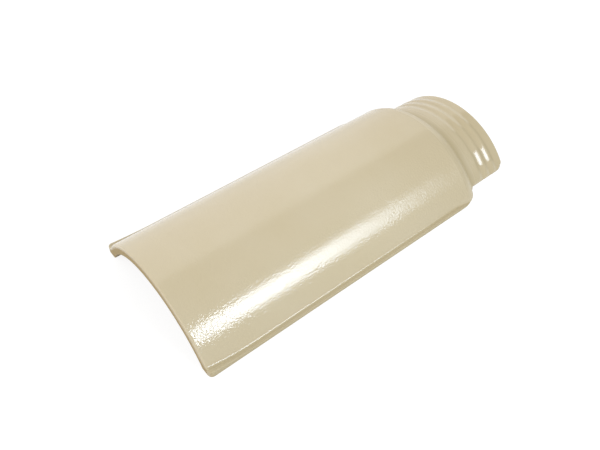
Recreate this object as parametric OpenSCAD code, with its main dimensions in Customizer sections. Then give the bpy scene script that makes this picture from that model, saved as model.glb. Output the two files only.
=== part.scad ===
// Glazed clay ridge tile: a half-round barrel on two small lips, with a shouldered,
// grooved neck at the back that slides under the front of the next tile.
// Millimetres. X runs across the tile, Y from the open front to the neck, Z up.
// The origin is in the middle of the footprint, on the resting plane.

/* [Barrel] */
// Length of roof ridge that one tile covers, from the front to the foot of the shoulder
cover_length = 401; // [330:1:460]
// Height of the crown over the resting plane
crown_height = 62; // [54:1:70]
// Outer radius of the barrel
barrel_radius = 116; // [108:1:128]
// Thickness of the barrel's wall
wall = 12; // [9:0.5:14]
// Rounding of the outer edge of the front end
front_edge = 2.5; // [1:0.5:4]
// Rounding of the inner edge of the front end
mouth_edge = 1; // [0.5:0.5:4]

/* [Lips] */
// How far each lip stands out past the foot of the barrel
lip_reach = 1.9; // [1.5:0.1:5]
// Height of the lips along the barrel
lip_height = 4.8; // [3:0.1:7]
// Rounding of the lip's upper outer edge
lip_edge = 1.4; // [0.8:0.1:2]
// Radius of the hollow between lip and barrel
lip_hollow = 1.5; // [1:0.1:4]
// Radius of the arc along which the lips run out before the shoulder
lip_fall = 120; // [60:5:200]
// Extra height of the lip at the front corner
flare_rise = 4.2; // [2:0.1:6]
// Length over which the lip rises to the front corner
flare_length = 60; // [30:1:90]
// Rounding of the lip's upper outer edge where it rises
flare_edge = 5; // [2:0.1:6]
// Plan radius of the two front corners
front_corner = 5; // [3:0.5:10]

/* [Shoulder] */
// Convex radius where the barrel turns down to the neck
shoulder_round = 20; // [10:0.5:24]
// Hollow radius at the foot of the shoulder
shoulder_hollow = 4.5; // [2:0.5:8]
// Plan radius of the shoulder's two corners
shoulder_corner = 46; // [24:1:60]

/* [Neck] */
// Length of the neck behind the shoulder
neck_length = 58.5; // [56:0.5:80]
// Thickness of the neck's wall
neck_wall = 9.5; // [7:0.5:12]
// Clearance between the neck and the front of the tile that covers it
nest_gap = 1; // [0.5:0.1:3]
// Height of the upright edge along the neck's feet
neck_land = 3; // [1:0.1:5]
// Plan radius of the neck's two end corners
neck_corner = 20; // [10:0.5:30]
// How far the end corners draw the neck in at each side
neck_inset = 4.5; // [1:0.1:8]
// Rounding of the outer edge of the neck's end
neck_edge = 2; // [1:0.5:4]

/* [Grooves] */
// Number of grooves round the neck
groove_count = 3; // [1:1:3]
// Distance from the shoulder's foot to the first groove
groove_start = 21.3; // [14:0.1:22]
// Spacing of the grooves
groove_pitch = 13.2; // [8:0.1:14]
// Depth of the grooves
groove_depth = 1.2; // [0.6:0.1:2.5]
// Slope in degrees at which the last groove runs out to the neck's end
runout_slope = 4.8; // [2:0.1:8]

/* [Hidden] */
$fn = 96;
glaze = "#d6caab";
// How far a cutting shape runs past the face that it cuts
over = 5;

overall_length = cover_length + neck_length;
axis_drop = barrel_radius - crown_height;
bore_radius = barrel_radius - wall;
neck_radius = bore_radius - nest_gap;
neck_bore = neck_radius - neck_wall;

// Half the width of a round section at a height over the resting plane
function half_at(radius, height) = sqrt(pow(radius, 2) - pow(axis_drop + height, 2));

// Length along a straight side that an arc takes to draw the side in
function arc_run(radius, inset) = sqrt(pow(radius, 2) - pow(radius - inset, 2));

half_width = half_at(barrel_radius, 0) + lip_reach;
neck_half = half_at(neck_radius, neck_land);
// The lips are drawn from here outwards, and the hollow of the barrel trims them
lip_root = half_width / 2;

// The shoulder is two arcs that touch: a convex one off the barrel, a hollow one onto the neck
shoulder_rise = barrel_radius - shoulder_round - neck_radius - shoulder_hollow;
shoulder_run = sqrt(pow(shoulder_round + shoulder_hollow, 2) - pow(shoulder_rise, 2));
shoulder_start = cover_length - shoulder_run;
fall_start = shoulder_start - arc_run(lip_fall, lip_height);

// The grooves and the lands between them are equal arcs that touch halfway down
groove_reach = groove_pitch / 4;
groove_arc = (pow(groove_reach, 2) + pow(groove_depth / 2, 2)) / groove_depth;
last_groove = groove_start + (groove_count - 1) * groove_pitch;
// How far the neck's end edge still lies below the lands, where the last groove has not quite run out
end_drop = max(0, groove_depth - (neck_length - neck_edge - last_groove) * tan(runout_slope));

// Leftover between a square corner at the origin and the arc that rounds it
module corner_waste(radius) {
    difference() {
        translate([-radius, -radius]) square(radius + over);
        translate([-radius, -radius]) circle(radius);
        translate([-radius - over, -radius - over]) square([over, 2 * (radius + over)]);
        translate([-radius - over, -radius - over]) square([2 * (radius + over), over]);
    }
}

// Outer outline from the axis, with distance from the axis across and length up the page
module outer_outline() {
    convex_axis = barrel_radius - shoulder_round;
    hollow_axis = neck_radius + shoulder_hollow;
    difference() {
        square([barrel_radius, shoulder_start]);
        translate([barrel_radius, 0]) mirror([0, 1]) corner_waste(front_edge);
    }
    intersection() {
        translate([convex_axis, shoulder_start]) circle(shoulder_round);
        translate([0, shoulder_start]) square([barrel_radius, shoulder_round]);
    }
    // The arcs meet on the line between their centres
    share = shoulder_round / (shoulder_round + shoulder_hollow);
    meet_axis = convex_axis + share * (hollow_axis - convex_axis);
    meet_length = shoulder_start + share * shoulder_run;
    difference() {
        translate([0, shoulder_start]) square([meet_axis, shoulder_run]);
        translate([hollow_axis, cover_length]) circle(shoulder_hollow);
        translate([meet_axis, meet_length]) square([shoulder_run, shoulder_run]);
    }
    difference() {
        square([neck_radius, overall_length]);
        translate([neck_radius - end_drop, overall_length]) corner_waste(neck_edge);
        translate([neck_radius, cover_length]) groove_waves();
    }
}

// Grooves with rounded lands between them
module groove_waves() {
    difference() {
        translate([-groove_depth / 2, groove_start - 2 * groove_reach])
            square([groove_depth, last_groove - groove_start + 2 * groove_reach]);
        for (land = [0 : groove_count - 1])
            translate([-groove_arc, groove_start + (land - 0.5) * groove_pitch]) circle(groove_arc);
    }
    for (groove = [0 : groove_count - 1])
        intersection() {
            translate([groove_arc - groove_depth, groove_start + groove * groove_pitch]) circle(groove_arc);
            translate([-groove_depth, groove_start + groove * groove_pitch - groove_reach])
                square([groove_depth, groove < groove_count - 1 ? 2 * groove_reach : groove_reach]);
        }
    // The last groove has no land behind it: it rises from its bottom to the neck's end
    translate([-groove_depth, last_groove])
        rotate(-runout_slope) square([groove_depth + over, neck_length]);
}

// Hollow of the barrel and of the neck, with a rounded step under the shoulder
module inner_outline() {
    step = bore_radius - neck_bore;
    step_end = cover_length - wall;
    translate([0, -over]) square([neck_bore, overall_length + 2 * over]);
    translate([0, -over]) square([bore_radius, step_end - step + over]);
    intersection() {
        translate([neck_bore, step_end - step]) circle(step);
        translate([0, step_end - step]) square([bore_radius, step]);
    }
    translate([bore_radius, 0]) rotate(180) corner_waste(mouth_edge);
}

// A solid turned about the axis of the barrel, which lies below the resting plane
module turned() {
    translate([0, 0, -axis_drop])
        rotate([-90, 0, 0])
            rotate_extrude() children();
}

// A lip along the right side, which runs out where the shoulder starts
module lip_bar() {
    difference() {
        translate([0, shoulder_start, 0])
            rotate([90, 0, 0])
                linear_extrude(shoulder_start)
                    difference() {
                        translate([lip_root, -over]) square([half_width - lip_root, lip_height + over]);
                        translate([half_width, lip_height]) corner_waste(lip_edge);
                    }
        rotate([90, 0, 90])
            linear_extrude(half_width + over)
                translate([fall_start + lip_fall, lip_height]) corner_waste(lip_fall);
    }
}

// Strip that fills the corner between lip and barrel with a hollow round
module lip_strip() {
    hollow_up = lip_height + lip_hollow;
    hollow_out = half_at(barrel_radius + lip_hollow, hollow_up);
    to_barrel = -[hollow_out, hollow_up + axis_drop] * lip_hollow / (barrel_radius + lip_hollow);
    to_lip = [0, -lip_hollow];
    translate([hollow_out, fall_start, hollow_up])
        rotate([90, 0, 0])
            linear_extrude(fall_start - flare_length / 2)
                difference() {
                    polygon([[0, 0], to_barrel, to_barrel + to_lip, to_lip]);
                    circle(lip_hollow);
                }
}

// Rise of the left lip towards its front corner, as a sweep along a large arc
module lip_flare() {
    sweep = (pow(flare_length, 2) + pow(flare_rise, 2)) / (2 * flare_rise);
    deep = lip_height + flare_rise + over;
    translate([0, flare_length, lip_height + sweep])
        rotate([0, 90, 180])
            rotate_extrude(angle = 2 * asin(flare_length / sweep))
                translate([sweep, 0])
                    mirror([1, 0])
                        difference() {
                            translate([-deep, lip_root]) square([deep, half_width - lip_root]);
                            translate([0, half_width]) corner_waste(flare_edge);
                        }
}

module right_lip() {
    lip_bar();
    lip_strip();
    mirror([1, 0, 0]) lip_flare();
}

// Outline of the tile from above, with its rounded corners
module plan() {
    shoulder_turn = cover_length - arc_run(shoulder_corner, half_width - neck_half);
    neck_turn = overall_length - arc_run(neck_corner, neck_inset);
    difference() {
        translate([-half_width, 0]) square([2 * half_width, cover_length]);
        for (side = [0, 1])
            mirror([side, 0]) {
                translate([half_width, 0]) mirror([0, 1]) corner_waste(front_corner);
                translate([half_width, shoulder_turn + shoulder_corner]) corner_waste(shoulder_corner);
            }
    }
    difference() {
        translate([-neck_half, cover_length - wall]) square([2 * neck_half, neck_length + wall]);
        for (side = [0, 1])
            mirror([side, 0])
                translate([neck_half, neck_turn + neck_corner]) corner_waste(neck_corner);
    }
}

module ridge_tile() {
    color(glaze)
        translate([0, -overall_length / 2, 0])
            difference() {
                intersection() {
                    union() {
                        turned() outer_outline();
                        right_lip();
                        mirror([1, 0, 0]) right_lip();
                    }
                    linear_extrude(crown_height + over) plan();
                }
                turned() inner_outline();
            }
}

ridge_tile();
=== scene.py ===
import math

import bpy
from mathutils import Matrix, Vector


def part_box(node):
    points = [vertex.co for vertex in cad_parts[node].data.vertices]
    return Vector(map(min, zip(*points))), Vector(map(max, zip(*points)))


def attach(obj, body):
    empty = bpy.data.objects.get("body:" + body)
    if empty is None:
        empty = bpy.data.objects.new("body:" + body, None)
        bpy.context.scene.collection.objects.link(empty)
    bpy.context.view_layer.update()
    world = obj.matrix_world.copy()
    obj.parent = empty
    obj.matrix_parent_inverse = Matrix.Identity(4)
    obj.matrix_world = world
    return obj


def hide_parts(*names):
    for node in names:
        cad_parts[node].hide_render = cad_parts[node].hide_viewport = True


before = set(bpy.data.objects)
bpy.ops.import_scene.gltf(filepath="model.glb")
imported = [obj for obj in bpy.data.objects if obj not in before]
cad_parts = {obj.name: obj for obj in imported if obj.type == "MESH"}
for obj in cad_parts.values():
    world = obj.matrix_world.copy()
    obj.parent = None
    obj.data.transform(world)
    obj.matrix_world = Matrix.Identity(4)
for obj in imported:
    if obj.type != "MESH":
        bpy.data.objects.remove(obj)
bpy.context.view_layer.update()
lowCorner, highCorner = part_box("ridge_tile")
scene = bpy.context.scene
mm = 0.001  # the tile's sizes are in millimetres, Blender is in metres
print("frame loaded")


def linear(hexColour):  # sRGB hex to the linear colour that the shaders take
    values = [int(hexColour[i:i + 2], 16) / 255 for i in (1, 3, 5)]
    return [v / 12.92 if v <= 0.04045 else ((v + 0.055) / 1.055) ** 2.4 for v in values] + [1.0]


def addNode(tree, kind, inputs=None, **settings):  # a node with its settings, values and links
    node = tree.nodes.new(kind)
    for name, value in settings.items():
        setattr(node, name, value)
    for socket, value in (inputs or {}).items():
        if isinstance(value, bpy.types.NodeSocket):
            tree.links.new(value, node.inputs[socket])
        else:
            node.inputs[socket].default_value = value
    return node


def freshTree(owner):
    owner.use_nodes = True
    owner.node_tree.nodes.clear()
    return owner.node_tree


# The tile's own sizes. Its length, width and height come from the frame.
tile = dict(
    length=(highCorner.y - lowCorner.y) / mm,
    halfWidth=highCorner.x / mm,
    crownHeight=highCorner.z / mm,
    barrelRadius=116, wall=12, coverLength=401,
    frontEdge=2.5, mouthEdge=1, footEdge=0.8, frontCorner=5,
    lipHeight=4.8, flareRise=4.2, flareLength=60, lipFall=120,
    lipHollow=3.5, lipEdge=1.0, flareEdge=4.0,  # reach of soft blends: the glaze fills the hollow
    shoulderRound=20, shoulderHollow=9, shoulderCorner=46,  # its hollow is filled by glaze too
    neckRadius=103, neckBore=93.5, neckLand=3, neckCorner=20, neckInset=4.5, neckEdge=2,
    grooveCount=3, grooveStart=21.3, groovePitch=13.2, grooveDepth=1.2, runoutSlope=4.8,
    # where the glaze thins out on the front edge, the end faces and in the mouth, and where the colour
    # turns towards the clay towards the neck's end and in the lowest millimetres over the floor: the
    # share lost at the neck's end, and the shares left elsewhere
    neckFadeFrom=250, neckFade=0.3, frontThin=0.3, frontCover=0.5, footFadeHeight=2.5, footFadeShare=0.3,
    capCover=0.1, mouthReach=14, mouthCover=0.15,
    # where the colour is darkened by painted shade: on the lips, just above them, at the shoulder's foot
    # and in the grooves
    lipShade=0.6, creaseShade=0.06, valleyShade=0.6, valleyShift=1, grooveShade=0.1,
    # where it is duller: on the lips' outer edges, over the shoulder and just above the lips
    wearReach=2.5, shoulderWear=0.6, shoulderSpread=1.5, creaseWear=0.16,
    lipZone=13,  # height over the floor that gets the dense points
    barrelPoints=54, lipPoints=60, edgePoints=5, footPoints=6,
    # sections along the length, from the front edge to the neck's end edge
    frontSections=16, flareSections=22, barrelSections=14, fallSections=16, roundSections=20,
    hollowSections=10, landSections=6, grooveSections=16, runoutSections=6, endSections=10,
)
axisDrop = tile["barrelRadius"] - tile["crownHeight"]  # the barrel's axis lies this far under the floor


def arcRun(radius, inset):  # length along a side that an arc takes to draw the side in
    return math.sqrt(radius ** 2 - (radius - inset) ** 2)


def arcInset(radius, distance):  # how far a rounded edge draws a side in, at a distance before its end
    return radius - math.sqrt(max(radius ** 2 - max(radius - distance, 0) ** 2, 0))


def halfAt(radius, height):  # half the width of a round section at a height over the floor
    return math.sqrt(radius ** 2 - (axisDrop + height) ** 2)


def smoothMax(a, b, reach):  # larger of two, with a hollow round where they cross
    h = max(reach - abs(a - b), 0) / reach
    return max(a, b) + h * h * reach / 4


def smoothMin(a, b, reach):
    return -smoothMax(-a, -b, reach)


neckHalf = halfAt(tile["neckRadius"], tile["neckLand"])
shoulderDrop = tile["barrelRadius"] - tile["neckRadius"]
shoulderArcs = tile["shoulderRound"] + tile["shoulderHollow"]
shoulderRun = math.sqrt(shoulderArcs ** 2 - (shoulderArcs - shoulderDrop) ** 2)
shoulderStart = tile["coverLength"] - shoulderRun
shoulderMeet = shoulderStart + shoulderRun * tile["shoulderRound"] / shoulderArcs
shoulderTurn = tile["coverLength"] - arcRun(tile["shoulderCorner"], tile["halfWidth"] - neckHalf)
neckTurn = tile["length"] - arcRun(tile["neckCorner"], tile["neckInset"])
fallStart = shoulderStart - arcRun(tile["lipFall"], tile["lipHeight"])
grooveFrom = tile["coverLength"] + tile["grooveStart"] - tile["groovePitch"] / 2
lastGroove = grooveFrom + (tile["grooveCount"] - 0.5) * tile["groovePitch"]
runoutRise = math.tan(math.radians(tile["runoutSlope"]))
boreRadius = tile["barrelRadius"] - tile["wall"]
boreStep = boreRadius - tile["neckBore"]
boreStepEnd = tile["coverLength"] - tile["wall"]


def grooveAt(y):  # depth of the grooves, of which the last rises to the neck's end
    if y <= grooveFrom:
        return 0
    if y >= lastGroove:
        return tile["grooveDepth"] - (min(y, tile["length"] - tile["neckEdge"]) - lastGroove) * runoutRise
    return tile["grooveDepth"] / 2 * (1 - math.cos(2 * math.pi * (y - grooveFrom) / tile["groovePitch"]))


def outerRadius(y):  # from the barrel's axis: front edge, barrel, shoulder, grooved neck, end edge
    if y < shoulderStart:
        return tile["barrelRadius"] - arcInset(tile["frontEdge"], y)
    if y < shoulderMeet:
        return tile["barrelRadius"] - tile["shoulderRound"] + math.sqrt(
            tile["shoulderRound"] ** 2 - (y - shoulderStart) ** 2)
    if y < tile["coverLength"]:
        return tile["neckRadius"] + tile["shoulderHollow"] - math.sqrt(
            tile["shoulderHollow"] ** 2 - (tile["coverLength"] - y) ** 2)
    return tile["neckRadius"] - grooveAt(y) - arcInset(tile["neckEdge"], tile["length"] - y)


def innerRadius(y):  # hollow of the barrel, the rounded step under the shoulder, hollow of the neck
    stepStart = boreStepEnd - boreStep
    if y < stepStart:
        return boreRadius + arcInset(tile["mouthEdge"], y)
    if y < boreStepEnd:
        return tile["neckBore"] + math.sqrt(boreStep ** 2 - (y - stepStart) ** 2)
    return tile["neckBore"] + arcInset(tile["mouthEdge"], tile["length"] - y)


def planHalf(y):  # half the width that the corners leave, seen from above
    if y < shoulderTurn:
        return tile["halfWidth"] - arcInset(tile["frontCorner"], y)
    if y < tile["coverLength"]:
        return tile["halfWidth"] - tile["shoulderCorner"] + math.sqrt(
            tile["shoulderCorner"] ** 2 - (y - shoulderTurn) ** 2)
    if y < neckTurn:
        return neckHalf
    return neckHalf - tile["neckCorner"] + math.sqrt(tile["neckCorner"] ** 2 - (y - neckTurn) ** 2)


def lipTop(y):  # height of the lip: flared at the front, running out before the shoulder
    if y > shoulderStart:
        return -tile["lipHeight"]
    if y > fallStart:
        return tile["lipHeight"] - tile["lipFall"] + math.sqrt(
            tile["lipFall"] ** 2 - (y - fallStart) ** 2)
    flare = max(1 - y / tile["flareLength"], 0)
    return tile["lipHeight"] + tile["flareRise"] * flare ** 2 - arcInset(tile["frontEdge"], y)


def clamp(value):
    return min(max(value, 0), 1)


def fade(low, share):  # from a low value up to 1
    return low + (1 - low) * clamp(share)


def outerGlaze(x, y, z, lip):  # shares of cover, of painted shade and of dull wear on the outside
    # towards the neck's end and in the lowest millimetres over the floor the colour turns darker, towards
    # the clay
    cover = 1 - tile["neckFade"] * clamp((y - tile["neckFadeFrom"]) / (tile["length"] - tile["neckFadeFrom"]))
    cover *= fade(tile["frontCover"], y / tile["frontThin"])
    cover *= fade(tile["footFadeShare"], z / tile["footFadeHeight"])
    valley = clamp(1 - abs(y - tile["coverLength"] + tile["valleyShift"]) / tile["shoulderHollow"])
    grooves = grooveAt(y) / tile["grooveDepth"]
    crease = clamp(2 * (lip + 1))  # the band just above the lip: a little painted shade, no peel and duller gloss
    # painted shade: the darker colour on the lips, just above them, at the shoulder's foot and in the
    # grooves
    shadeShare = max(tile["lipShade"] * clamp(lip), tile["creaseShade"] * crease,
               tile["valleyShade"] * valley, tile["grooveShade"] * grooves)
    turned = clamp(tile["shoulderSpread"] * (1 - abs(y - shoulderMeet) / shoulderRun))
    wear = clamp(2 * (1 + (x - tile["halfWidth"]) / tile["wearReach"]))  # full over the outer half
    wear = max(wear, tile["shoulderWear"] * turned, tile["creaseWear"] * crease)
    return cover, shadeShare, wear


def halfSection(y):  # right half of the outer and inner outlines, each point with its glaze
    radius, bore, plan, top = outerRadius(y), innerRadius(y), planHalf(y), lipTop(y)
    flare = max(1 - y / tile["flareLength"], 0)
    edge = tile["lipEdge"] + (tile["flareEdge"] - tile["lipEdge"]) * flare ** 2
    foot = tile["footEdge"]
    zone = math.acos((axisDrop + tile["lipZone"]) / radius)
    last = math.atan2(plan, axisDrop + foot)
    angles = [zone * i / tile["barrelPoints"] for i in range(tile["barrelPoints"])]
    angles += [zone + (last - zone) * i / tile["lipPoints"] for i in range(tile["lipPoints"] + 1)]
    outer = []
    for angle in angles:
        lip = (top + axisDrop) / math.cos(angle)
        reach = smoothMax(radius, lip, tile["lipHollow"])
        if angle:
            reach = smoothMin(reach, plan / math.sin(angle), edge)
        x, z = reach * math.sin(angle), max(reach * math.cos(angle) - axisDrop, 0)
        outer.append((x, z) + outerGlaze(x, y, z, 1 + (lip - radius) / tile["lipHollow"]))
    boreLast = math.acos((axisDrop + foot) / bore)
    # the sprayed glaze reaches a little way into the mouth
    mouth = tile["mouthCover"] * clamp(1 - y / tile["mouthReach"])
    inner = []
    for i in range(len(angles)):
        angle = boreLast * i / (len(angles) - 1)
        inner.append((bore * math.sin(angle), bore * math.cos(angle) - axisDrop, mouth, 0, 0))
    outerFoot, innerFoot = outer[-1][0], inner[-1][0]
    for i in range(1, tile["edgePoints"] + 1):  # the two lower edges are slightly rounded
        turn = math.pi / 2 * i / tile["edgePoints"]
        inset, z = foot * (1 - math.cos(turn)), foot * (1 - math.sin(turn))
        outer.append((outerFoot - inset, z) + outerGlaze(outerFoot, y, z, 0))
        inner.append((innerFoot + inset, z, mouth, 0, 0))
    return outer, inner


def between(start, end, count):  # evenly spaced stations, without the last
    return [start + (end - start) * i / count for i in range(count)]


def rounded(start, end, count):  # stations that crowd towards the start, for the end edges
    return [start + (end - start) * (1 - math.cos(math.pi / 2 * i / count)) for i in range(count)]


def tileStations():
    length, cover = tile["length"], tile["coverLength"]
    neckEnd = length - tile["neckEdge"]
    stations = rounded(0, tile["frontCorner"], tile["frontSections"])
    stations += between(tile["frontCorner"], tile["flareLength"], tile["flareSections"])
    stations += between(tile["flareLength"], fallStart, tile["barrelSections"])
    stations += between(fallStart, shoulderStart, tile["fallSections"])
    stations += between(shoulderStart, shoulderMeet, tile["roundSections"])
    stations += between(shoulderMeet, cover, tile["hollowSections"])
    stations += between(cover, grooveFrom, tile["landSections"])
    stations += between(grooveFrom, lastGroove, tile["grooveSections"] * tile["grooveCount"])
    stations += between(lastGroove, neckEnd, tile["runoutSections"])
    return stations + [length - s for s in reversed(rounded(0, tile["neckEdge"], tile["endSections"]))]


def buildTile():
    vertices, faces, skin = [], [], []
    stations = tileStations()
    across = tile["footPoints"]

    def addPoint(x, y, z, cover, shadeShare=0, wear=0):
        vertices.append((x * mm, (y - tile["length"] / 2) * mm, z * mm))
        skin.append((cover, shadeShare, wear))
        return len(vertices) - 1

    def addArch(half, y):  # from the left foot over the crown to the right foot
        points = [addPoint(-x, y, z, *glazing) for x, z, *glazing in reversed(half[1:])]
        return points + [addPoint(x, y, z, *glazing) for x, z, *glazing in half]

    rings = []
    for y in stations:
        outer, inner = halfSection(y)
        top, under = addArch(outer, y), addArch(inner, y)
        edges = [outer[-1][0] + (inner[-1][0] - outer[-1][0]) * k / across for k in range(1, across)]
        feet = [[addPoint(side * x, y, 0, tile["capCover"]) for x in edges] for side in (-1, 1)]
        rings.append((top, under, feet))

    def loopOf(ring):
        top, under, (left, right) = ring
        return top + right + under[::-1] + left[::-1]

    for here, there in zip(rings, rings[1:]):
        a, b = loopOf(here), loopOf(there)
        for i in range(len(a)):
            j = (i + 1) % len(a)
            faces.append((a[i], a[j], b[j], b[i]))

    for ring, y, flip in ((rings[0], stations[0], False), (rings[-1], stations[-1], True)):
        top, under, (left, right) = ring
        rows = [[top[0]] + left + [under[0]]]
        for i in range(1, len(top) - 1):
            a, b = Vector(vertices[top[i]]), Vector(vertices[under[i]])
            rows.append([top[i]])
            for k in range(1, across):
                spot = a.lerp(b, k / across) / mm
                rows[-1].append(addPoint(spot.x, y, spot.z, tile["capCover"]))
            rows[-1].append(under[i])
        rows.append([top[-1]] + right + [under[-1]])
        for one, two in zip(rows, rows[1:]):
            for k in range(across):
                quad = (one[k], two[k], two[k + 1], one[k + 1])
                faces.append(quad if flip else quad[::-1])

    mesh = bpy.data.meshes.new("ridge tile")
    mesh.from_pydata(vertices, [], faces)
    # the second attribute holds the share of painted shade
    for i, name in enumerate(("glazeCover", "paintedShade", "glazeWear")):
        shares = mesh.attributes.new(name, "FLOAT", "POINT")
        shares.data.foreach_set("value", [share[i] for share in skin])
    mesh.polygons.foreach_set("use_smooth", [True] * len(faces))
    mesh.update()
    body = bpy.data.objects.new("glazed_ridge_tile", mesh)
    scene.collection.objects.link(body)
    print("tile:", len(vertices), "points,", 2 * len(faces), "triangles")
    return body


# Ivory glaze fired on pressed clay: a glass skin with a faint orange peel and slow drifts of tone, with
# painted shade on the lips, above them, at the shoulder's foot and in the grooves.
glaze = dict(
    # The third colour is painted shade, mixed in on the lips, above them, at the shoulder's foot and in
    # the grooves.
    glazeColour="#d5c6a7", driftColour="#cfbe99", paintedShadeColour="#b7a67c",
    clayColour="#b59c6b", clayDark="#96804f",
    driftSize=70, clayGrain=0.9,  # millimetres, as the next two
    peelSize=2.4, peelDepth=0.23,  # drawn coarser than the real peel, so that it shows at picture size
    glossCover=0.6,  # share of painted shade from which it has no peel
    calmShade=0.05,  # share of gathered glaze from which it has no peel
    roughness=0.09, wornRoughness=0.5, clayRoughness=0.85, ior=1.6,
)


def ivoryGlaze():
    material = bpy.data.materials.new("ivory glazed clay")
    tree = freshTree(material)
    place = addNode(tree, "ShaderNodeTexCoord").outputs["Object"]
    cover = addNode(tree, "ShaderNodeAttribute", attribute_name="glazeCover").outputs["Fac"]
    shadeShare = addNode(tree, "ShaderNodeAttribute", attribute_name="paintedShade").outputs["Fac"]
    wear = addNode(tree, "ShaderNodeAttribute", attribute_name="glazeWear").outputs["Fac"]
    drift = addNode(tree, "ShaderNodeTexNoise", {
        "Vector": place, "Scale": 1 / (glaze["driftSize"] * mm), "Detail": 3.0, "Roughness": 0.5})
    tone = addNode(tree, "ShaderNodeMix", {
        "Factor": drift.outputs["Fac"],
        "A": linear(glaze["glazeColour"]), "B": linear(glaze["driftColour"])}, data_type="RGBA")
    grain = addNode(tree, "ShaderNodeTexNoise", {
        "Vector": place, "Scale": 1 / (glaze["clayGrain"] * mm), "Detail": 4.0, "Roughness": 0.7})
    clay = addNode(tree, "ShaderNodeMix", {
        "Factor": grain.outputs["Fac"],
        "A": linear(glaze["clayDark"]), "B": linear(glaze["clayColour"])}, data_type="RGBA")
    # painted shade: the darker colour mixed in by the shade attribute
    shaded = addNode(tree, "ShaderNodeMix", {
        "Factor": shadeShare, "A": tone.outputs["Result"], "B": linear(glaze["paintedShadeColour"])}, data_type="RGBA")
    colour = addNode(tree, "ShaderNodeMix", {
        "Factor": cover, "A": clay.outputs["Result"], "B": shaded.outputs["Result"]}, data_type="RGBA")
    gloss = addNode(tree, "ShaderNodeMapRange", {
        "Value": cover, "From Max": glaze["glossCover"],
        "To Min": glaze["clayRoughness"], "To Max": glaze["roughness"]})
    dull = addNode(tree, "ShaderNodeMath", {
        0: wear, 1: glaze["wornRoughness"], 2: gloss.outputs["Result"]}, operation="MULTIPLY_ADD")
    smooth = addNode(tree, "ShaderNodeMapRange", {
        "Value": shadeShare, "From Max": glaze["calmShade"], "To Min": 1.0, "To Max": 0.0})
    peel = addNode(tree, "ShaderNodeTexNoise", {
        "Vector": place, "Scale": 1 / (glaze["peelSize"] * mm), "Detail": 2.0, "Roughness": 0.55})
    bump = addNode(tree, "ShaderNodeBump", {
        "Height": peel.outputs["Fac"], "Distance": glaze["peelDepth"] * mm,
        "Strength": smooth.outputs["Result"]})
    shader = addNode(tree, "ShaderNodeBsdfPrincipled", {
        "Base Color": colour.outputs["Result"], "Roughness": dull.outputs[0],
        "Normal": bump.outputs["Normal"], "IOR": glaze["ior"]})
    addNode(tree, "ShaderNodeOutputMaterial", {"Surface": shader.outputs["BSDF"]})
    return material


ridgeTile = buildTile()
ridgeTile.data.materials.append(ivoryGlaze())
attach(ridgeTile, "root")
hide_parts("ridge_tile")
print("glaze on")


# Plain white studio: a pale floor that keeps a soft shadow, a white room, a half tent of panels over
# the tile and its right side, and one strip light. Metres and shares of white.
studio = dict(
    floorSize=12.0, floorColour="#c8c8c5", floorShare=0.25, floorGlow=0.85,
    roomGlow=1.24,
    tentLeft=-0.50, tentRight=2.5, tentFront=-1.5, tentBack=3.5, tentHeight=1.50,
    topGlow=0.37, rightGlow=0.42, backGlow=0.0, frontGlow=1.5,
    stripFrom=(1.24, -0.05, 1.00), stripTo=(1.00, 1.00, 0.81), stripWidth=0.43, stripGlow=14.4,
    stripColour="#e4f0ff", stripNearFade=0.20, stripFarFade=0.62, stripFarPower=0.75,
)


def whiteFloor():
    half = studio["floorSize"] / 2
    mesh = bpy.data.meshes.new("studio floor")
    corners = [(-half, -half, 0), (half, -half, 0), (half, half, 0), (-half, half, 0)]
    mesh.from_pydata(corners, [], [(0, 1, 2, 3)])
    floor = bpy.data.objects.new("studio_floor", mesh)
    scene.collection.objects.link(floor)
    material = bpy.data.materials.new("pale studio floor")
    tree = freshTree(material)
    path = addNode(tree, "ShaderNodeLightPath")
    seen = addNode(tree, "ShaderNodeMath", {
        0: path.outputs["Is Camera Ray"], 1: path.outputs["Is Glossy Ray"]}, operation="MAXIMUM")
    seen = addNode(tree, "ShaderNodeMath", {
        0: seen.outputs[0], 1: path.outputs["Is Transmission Ray"]}, operation="MAXIMUM")
    plain = addNode(tree, "ShaderNodeBsdfDiffuse", {"Color": linear(studio["floorColour"])})
    dim = addNode(tree, "ShaderNodeBsdfDiffuse", {"Color": [studio["floorShare"]] * 3 + [1.0]})
    glow = addNode(tree, "ShaderNodeEmission", {"Strength": studio["floorGlow"]})
    white = addNode(tree, "ShaderNodeAddShader", {0: dim.outputs[0], 1: glow.outputs[0]})
    mix = addNode(tree, "ShaderNodeMixShader", {
        0: seen.outputs[0], 1: plain.outputs[0], 2: white.outputs[0]})
    addNode(tree, "ShaderNodeOutputMaterial", {"Surface": mix.outputs[0]})
    mesh.materials.append(material)


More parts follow.
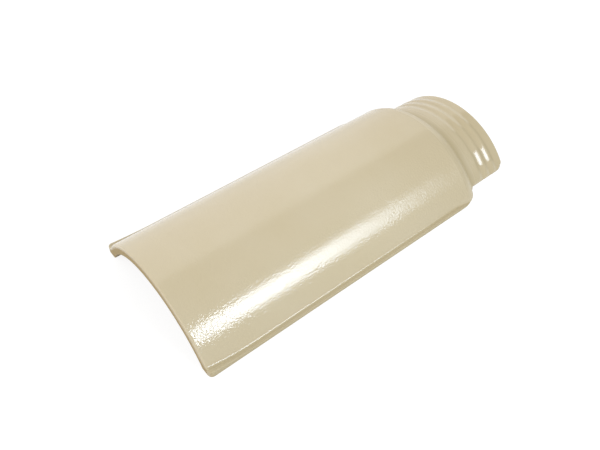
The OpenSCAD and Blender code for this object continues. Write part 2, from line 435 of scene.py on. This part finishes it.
def stripLight():  # a long flat lamp that faces the tile and fades towards both ends
    start, end = Vector(studio["stripFrom"]), Vector(studio["stripTo"])
    middle = (start + end) / 2
    along = (end - start).normalized()
    away = (middle - along * middle.dot(along)).normalized()
    side = away.cross(along)
    lamp = bpy.data.lights.new("strip light", "AREA")
    lamp.shape = "RECTANGLE"
    lamp.size, lamp.size_y = (end - start).length, studio["stripWidth"]
    lamp.energy = studio["stripGlow"] * lamp.size * lamp.size_y * math.pi
    tree = freshTree(lamp)
    spot = addNode(tree, "ShaderNodeNewGeometry").outputs["Parametric"]
    share = addNode(tree, "ShaderNodeSeparateXYZ", {0: spot}).outputs["X"]
    near = addNode(tree, "ShaderNodeMapRange", {
        "Value": share, "From Min": 0.0, "From Max": studio["stripNearFade"]},
        interpolation_type="SMOOTHSTEP")
    far = addNode(tree, "ShaderNodeMapRange", {
        "Value": share, "From Min": 1.0, "From Max": 1 - studio["stripFarFade"]})
    slow = addNode(tree, "ShaderNodeMath", {
        0: far.outputs[0], 1: studio["stripFarPower"]}, operation="POWER")
    level = addNode(tree, "ShaderNodeMath", {
        0: near.outputs[0], 1: slow.outputs[0]}, operation="MULTIPLY")
    glow = addNode(tree, "ShaderNodeEmission", {
        "Color": linear(studio["stripColour"]), "Strength": level.outputs[0]})
    addNode(tree, "ShaderNodeOutputLight", {"Surface": glow.outputs[0]})
    holder = bpy.data.objects.new("strip light", lamp)
    holder.matrix_world = Matrix.Translation(middle) @ Matrix((along, side, away)).transposed().to_4x4()
    scene.collection.objects.link(holder)


def whiteRoom():
    world = bpy.data.worlds.new("white room")
    scene.world = world
    tree = freshTree(world)
    glow = addNode(tree, "ShaderNodeBackground", {"Color": (1, 1, 1, 1), "Strength": studio["roomGlow"]})
    addNode(tree, "ShaderNodeOutputWorld", {"Surface": glow.outputs[0]})


# Its top, right and back are dimmer than the room, so only the left side of the crown mirrors white.
def halfTent():
    left, right, front, back, high = (studio[name] for name in (
        "tentLeft", "tentRight", "tentFront", "tentBack", "tentHeight"))
    panels = dict(
        top=[(left, front, high), (right, front, high), (right, back, high), (left, back, high)],
        right=[(right, front, 0), (right, back, 0), (right, back, high), (right, front, high)],
        back=[(left, back, 0), (right, back, 0), (right, back, high), (left, back, high)],
        front=[(left, front, 0), (right, front, 0), (right, front, high), (left, front, high)],
    )
    for name, corners in panels.items():
        mesh = bpy.data.meshes.new("tent " + name)
        mesh.from_pydata(corners, [], [(0, 1, 2, 3)])
        panel = bpy.data.objects.new("tent_" + name, mesh)
        scene.collection.objects.link(panel)
        panel.visible_camera = False
        material = bpy.data.materials.new("soft panel " + name)
        tree = freshTree(material)
        glow = addNode(tree, "ShaderNodeEmission", {"Strength": studio[name + "Glow"]})
        addNode(tree, "ShaderNodeOutputMaterial", {"Surface": glow.outputs[0]})
        mesh.materials.append(material)


whiteFloor()
whiteRoom()
halfTent()
stripLight()
scene.view_settings.view_transform = "Standard"
print("studio lit")


# Viewing angle of the picture, in millimetres and degrees, for an image of 600 by 450.
view = dict(aim=(19.4, -51.4, 25), azimuth=39.28, elevation=47.29, roll=0.44, distance=707.3,
            focalPixels=631.1, imageWidth=600, sensorWidth=36)


def addCamera():
    turn, rise, roll = (math.radians(view[name]) for name in ("azimuth", "elevation", "roll"))
    toward = Vector((math.cos(turn) * math.cos(rise), -math.sin(turn) * math.cos(rise), math.sin(rise)))
    level = Vector((0, 0, 1)).cross(toward).normalized()
    upright = toward.cross(level)
    right = level * math.cos(roll) + upright * math.sin(roll)
    up = upright * math.cos(roll) - level * math.sin(roll)
    data = bpy.data.cameras.new("camera")
    data.sensor_width = view["sensorWidth"]
    data.lens = data.sensor_width * view["focalPixels"] / view["imageWidth"]
    camera = bpy.data.objects.new("camera", data)
    spot = (Vector(view["aim"]) + toward * view["distance"]) * mm
    camera.matrix_world = Matrix.Translation(spot) @ Matrix((right, up, toward)).transposed().to_4x4()
    scene.collection.objects.link(camera)
    scene.camera = camera


addCamera()
bpy.context.view_layer.update()
print("camera set")
